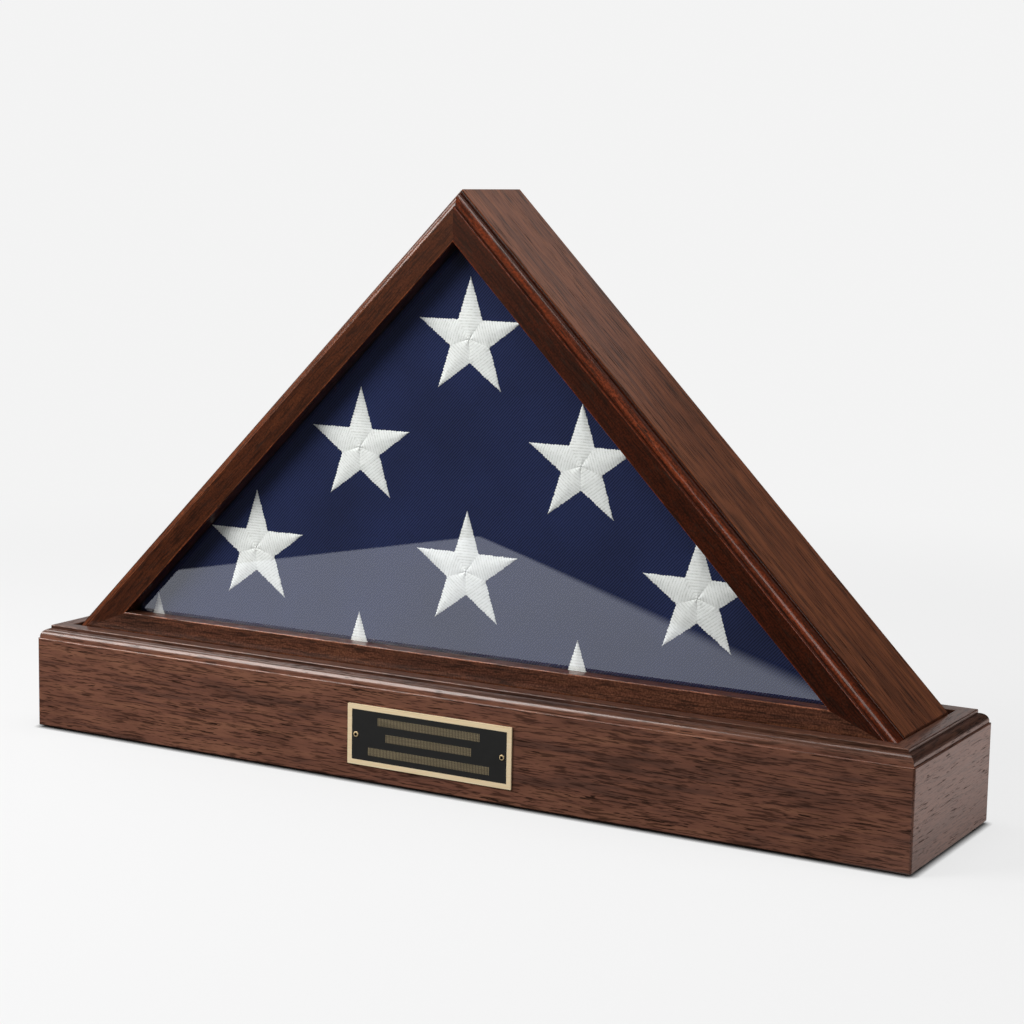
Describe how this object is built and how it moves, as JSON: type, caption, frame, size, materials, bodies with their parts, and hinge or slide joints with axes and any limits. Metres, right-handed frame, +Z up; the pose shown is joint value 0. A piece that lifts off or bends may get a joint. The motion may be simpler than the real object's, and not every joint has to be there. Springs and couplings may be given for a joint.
{
  "type": "folded flag display case",
  "caption": "Triangular glazed hardwood case holding a folded flag, with a hinged back door, seated in a moulded box base with a blank name plate.",
  "frame": {"origin": "on the surface the base stands on, under the middle of the base", "axes": "+X to the viewer's right along the base, +Y from the glazed front to the back door, +Z up"},
  "size_m": [0.73, 0.1539, 0.431],
  "materials": {
    "walnut": "stained hardwood, satin lacquer",
    "plywood": "stained veneered panel, satin lacquer",
    "softwood": "bare planed softwood",
    "glass": "clear float glass",
    "brass": "brushed and lacquered",
    "black_enamel": "black enamel fill, semi-gloss",
    "steel": "zinc plated",
    "felt": "pressed wool felt",
    "flag_cloth": "woven cotton bunting with embroidered white stars"
  },
  "bodies": {
    "base": {"base_rail_front": "walnut", "base_rail_back": "walnut", "base_rail_left": "walnut", "base_rail_right": "walnut", "well_cleat_front": "softwood", "well_cleat_back": "softwood", "bottom_cleat_front": "softwood", "bottom_cleat_back": "softwood", "corner_blocks": "softwood", "well_floor": "plywood", "bottom_panel": "plywood", "bottom_panel_screws": "steel", "felt_pads": "felt", "name_plate": "brass", "name_plate_field": "black_enamel", "name_plate_pins": "brass"},
    "case": {"case_board_left": "walnut", "case_board_right": "walnut", "case_board_bottom": "walnut", "front_frame_left": "walnut", "front_frame_right": "walnut", "front_frame_bottom": "walnut", "glass_pane": "glass", "glass_stop_left": "walnut", "glass_stop_right": "walnut", "glass_stop_bottom": "walnut", "glass_stop_brads": "steel", "door_stop_left": "walnut", "door_stop_right": "walnut", "door_stop_brads": "steel", "catch_magnets": "steel", "folded_flag": "flag_cloth", "hinge_case_leaf_left": "brass", "hinge_case_leaf_right": "brass", "hinge_pin_left": "brass", "hinge_pin_right": "brass", "hinge_case_screws": "brass"},
    "back_door": {"back_door": "plywood", "catch_strikes": "steel", "hinge_door_leaf_left": "brass", "hinge_door_leaf_right": "brass", "hinge_door_screws": "brass", "door_knob": "brass", "door_knob_screw": "brass"}
  },
  "joints": [
    {"name": "case_lift", "type": "slide", "parent": "base", "child": "case", "axis": [0, 0, 1], "range_m": [0, 0.06]},
    {"name": "back_door_hinge", "type": "hinge", "parent": "case", "child": "back_door", "pos_m": [0, 0.0458, 0.0861], "axis": [-1, 0, 0], "range_deg": [0, 104]}
  ]
}
